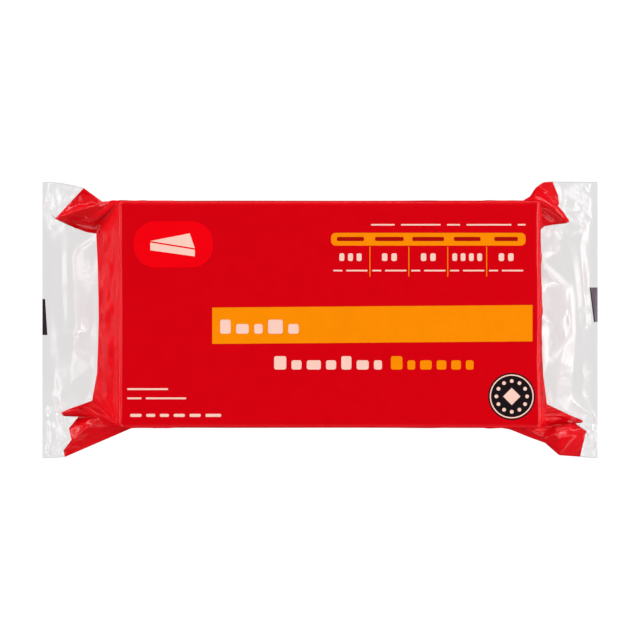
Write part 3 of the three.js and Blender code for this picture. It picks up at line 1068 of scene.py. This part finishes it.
def register_mark(name, cut, corners, colour, layer):
    """A flat patch of ink on the front film of a seal."""
    place, inward = cut
    height = BLOCK_HEIGHT / 2 + FRONT_LAYER + INK_LIFT + layer * INK_LAYER
    points = [((place + inward * inside) * MM, across * MM, height * MM) for inside, across in corners]
    mesh = bpy.data.meshes.new(name)
    mesh.from_pydata(points, [], [range(len(points))])
    printed_piece(name, mesh, colour)


for mark in REGISTER_MARKS:
    register_mark(*mark)

# %% [markdown]
# ## Floor, light and camera
#
# The photograph looks straight down at a white ground. The floor glows a little, because a lit
# floor alone would have to be lit much more brightly than the pack, and the gloss of the film
# doesn't mirror it.

# %% White floor
FLOOR_REACH = 3.0
FLOOR_GREY = 0.12
FLOOR_GLOW = 0.95
FLOOR_ROUGHNESS = 0.9
FLOOR_GLOSS = 0.1


def white_floor():
    """A large plate under the pack."""
    near, far = -FLOOR_REACH, FLOOR_REACH
    mesh = bpy.data.meshes.new("floor")
    corners = [(near, near, 0), (far, near, 0), (far, far, 0), (near, far, 0)]
    mesh.from_pydata(corners, [], [range(len(corners))])
    material = bpy.data.materials.new("floor")
    material.use_nodes = True
    shader = material.node_tree.nodes["Principled BSDF"]
    shader.inputs["Base Color"].default_value = (FLOOR_GREY, FLOOR_GREY, FLOOR_GREY, 1)
    shader.inputs["Roughness"].default_value = FLOOR_ROUGHNESS
    shader.inputs["Specular IOR Level"].default_value = FLOOR_GLOSS
    shader.inputs["Emission Color"].default_value = (1, 1, 1, 1)
    shader.inputs["Emission Strength"].default_value = FLOOR_GLOW
    mesh.materials.append(material)
    floor = bpy.data.objects.new("floor", mesh)
    bpy.context.scene.collection.objects.link(floor)
    floor.visible_glossy = False
    return floor


print("floor, m:", white_floor().dimensions.to_tuple(1))

# %% [markdown]
# The lights are soft and to the sides, so that the flat face mirrors nothing bright and stays
# deep red. Seen from above, a facet mirrors what stands at twice its own slant. So softboxes half
# way up show on facets that lean by about 20 degrees, and low strips on those that lean by about
# 40. Most softboxes stand on the diagonals: the straight edges of the block lean along its sides
# and would mirror anything in front of a side as one long white line.

# %% Soft lights
BOX_SIZE, DIAGONAL_BOX_SIZE = (0.35, 0.5), (0.45, 0.4)
STRIP_SIZE, DIAGONAL_STRIP_SIZE = (1.0, 0.1), (0.7, 0.1)
LIGHTS = {  # place, size and power
    "softbox_left": ((-0.85, 0.1, 0.85), BOX_SIZE, 1.5),
    "softbox_right": ((0.85, 0.1, 0.85), BOX_SIZE, 2.9),
    "softbox_left_behind": ((-0.6, 0.6, 0.85), DIAGONAL_BOX_SIZE, 2.0),
    "softbox_right_behind": ((0.6, 0.6, 0.85), DIAGONAL_BOX_SIZE, 2.0),
    "softbox_left_front": ((-0.6, -0.6, 0.85), DIAGONAL_BOX_SIZE, 2.5),
    "softbox_right_front": ((0.6, -0.6, 0.85), DIAGONAL_BOX_SIZE, 3.0),
    "low_light_behind": ((0.0, 1.0, 0.1), STRIP_SIZE, 1.8),
    "low_light_left": ((-1.0, 0.0, 0.1), STRIP_SIZE, 2.7),
    "low_light_right": ((1.0, 0.0, 0.1), STRIP_SIZE, 3.6),
    "low_light_left_behind": ((-0.7, 0.7, 0.12), DIAGONAL_STRIP_SIZE, 3.2),
    "low_light_right_behind": ((0.7, 0.7, 0.12), DIAGONAL_STRIP_SIZE, 1.3),
    "low_light_right_front": ((0.7, -0.7, 0.12), DIAGONAL_STRIP_SIZE, 1.0),
    "low_light_front": ((0.0, -1.0, 0.1), STRIP_SIZE, 0.5),
}


def soft_light(name, place, size, power):
    """A rectangular light that faces the middle of the floor."""
    lamp = bpy.data.lights.new(name, "AREA")
    lamp.shape = "RECTANGLE"
    lamp.size, lamp.size_y = size
    lamp.energy = power
    holder = bpy.data.objects.new(name, lamp)
    holder.location = place
    holder.rotation_euler = (-Vector(place)).to_track_quat("-Z", "Y").to_euler()
    bpy.context.scene.collection.objects.link(holder)


for light_name, light in LIGHTS.items():
    soft_light(light_name, *light)
print("lights:", len(LIGHTS))

# %% [markdown]
# The room is a grey glow from all sides, which fills the shadows. It is dark straight up, because
# the printed face would mirror it, and dark below the floor. A curve from the upward part of a
# direction to a brightness says that in four points.

# %% Room
ROOM_BRIGHTNESS = {-0.05: 0.02, 0.1: 0.4, 0.7: 0.4, 0.95: 0.02}  # by the upward part of a direction
CURVE_ENDS = 0.02  # darkest part of the curve, as a share of the brightest

strongest = max(ROOM_BRIGHTNESS.values())
room = bpy.data.worlds.new("room")
room.use_nodes = True
nodes, links = room.node_tree.nodes, room.node_tree.links
direction = nodes.new("ShaderNodeTexCoord")
upward = nodes.new("ShaderNodeSeparateXYZ")
links.new(direction.outputs["Generated"], upward.inputs["Vector"])
curve_place = nodes.new("ShaderNodeMath")
curve_place.operation = "MULTIPLY_ADD"
curve_place.inputs[1].default_value = 1 / 2
curve_place.inputs[2].default_value = 1 / 2
links.new(upward.outputs["Z"], curve_place.inputs[0])
brightness = nodes.new("ShaderNodeFloatCurve")
curve = brightness.mapping.curves[0]
for place, point in enumerate(curve.points):
    point.location = (place, CURVE_ENDS)
for height, strength in ROOM_BRIGHTNESS.items():
    curve.points.new((1 + height) / 2, strength / strongest).handle_type = "VECTOR"
brightness.mapping.update()
links.new(curve_place.outputs["Value"], brightness.inputs["Value"])
scale = nodes.new("ShaderNodeMath")
scale.operation = "MULTIPLY"
scale.inputs[1].default_value = strongest
links.new(brightness.outputs["Value"], scale.inputs[0])
links.new(scale.outputs["Value"], nodes["Background"].inputs["Strength"])
nodes["Background"].inputs["Color"].default_value = (1, 1, 1, 1)
bpy.context.scene.world = room
bpy.context.scene.view_settings.view_transform = "Standard"
print("room, brightest:", strongest)

# %% [markdown]
# The camera is high above the middle of the pack with a long lens, so that the sides of the block
# hardly show. The height sets how large the pack is in the picture.

# %% Camera
CAMERA_HEIGHT = 1.307
LENS = 180

lens = bpy.data.cameras.new("camera")
lens.lens = LENS
camera = bpy.data.objects.new("camera", lens)
camera.location = (0, 0, CAMERA_HEIGHT)
bpy.context.scene.collection.objects.link(camera)
bpy.context.scene.camera = camera
print("camera height, m:", CAMERA_HEIGHT)
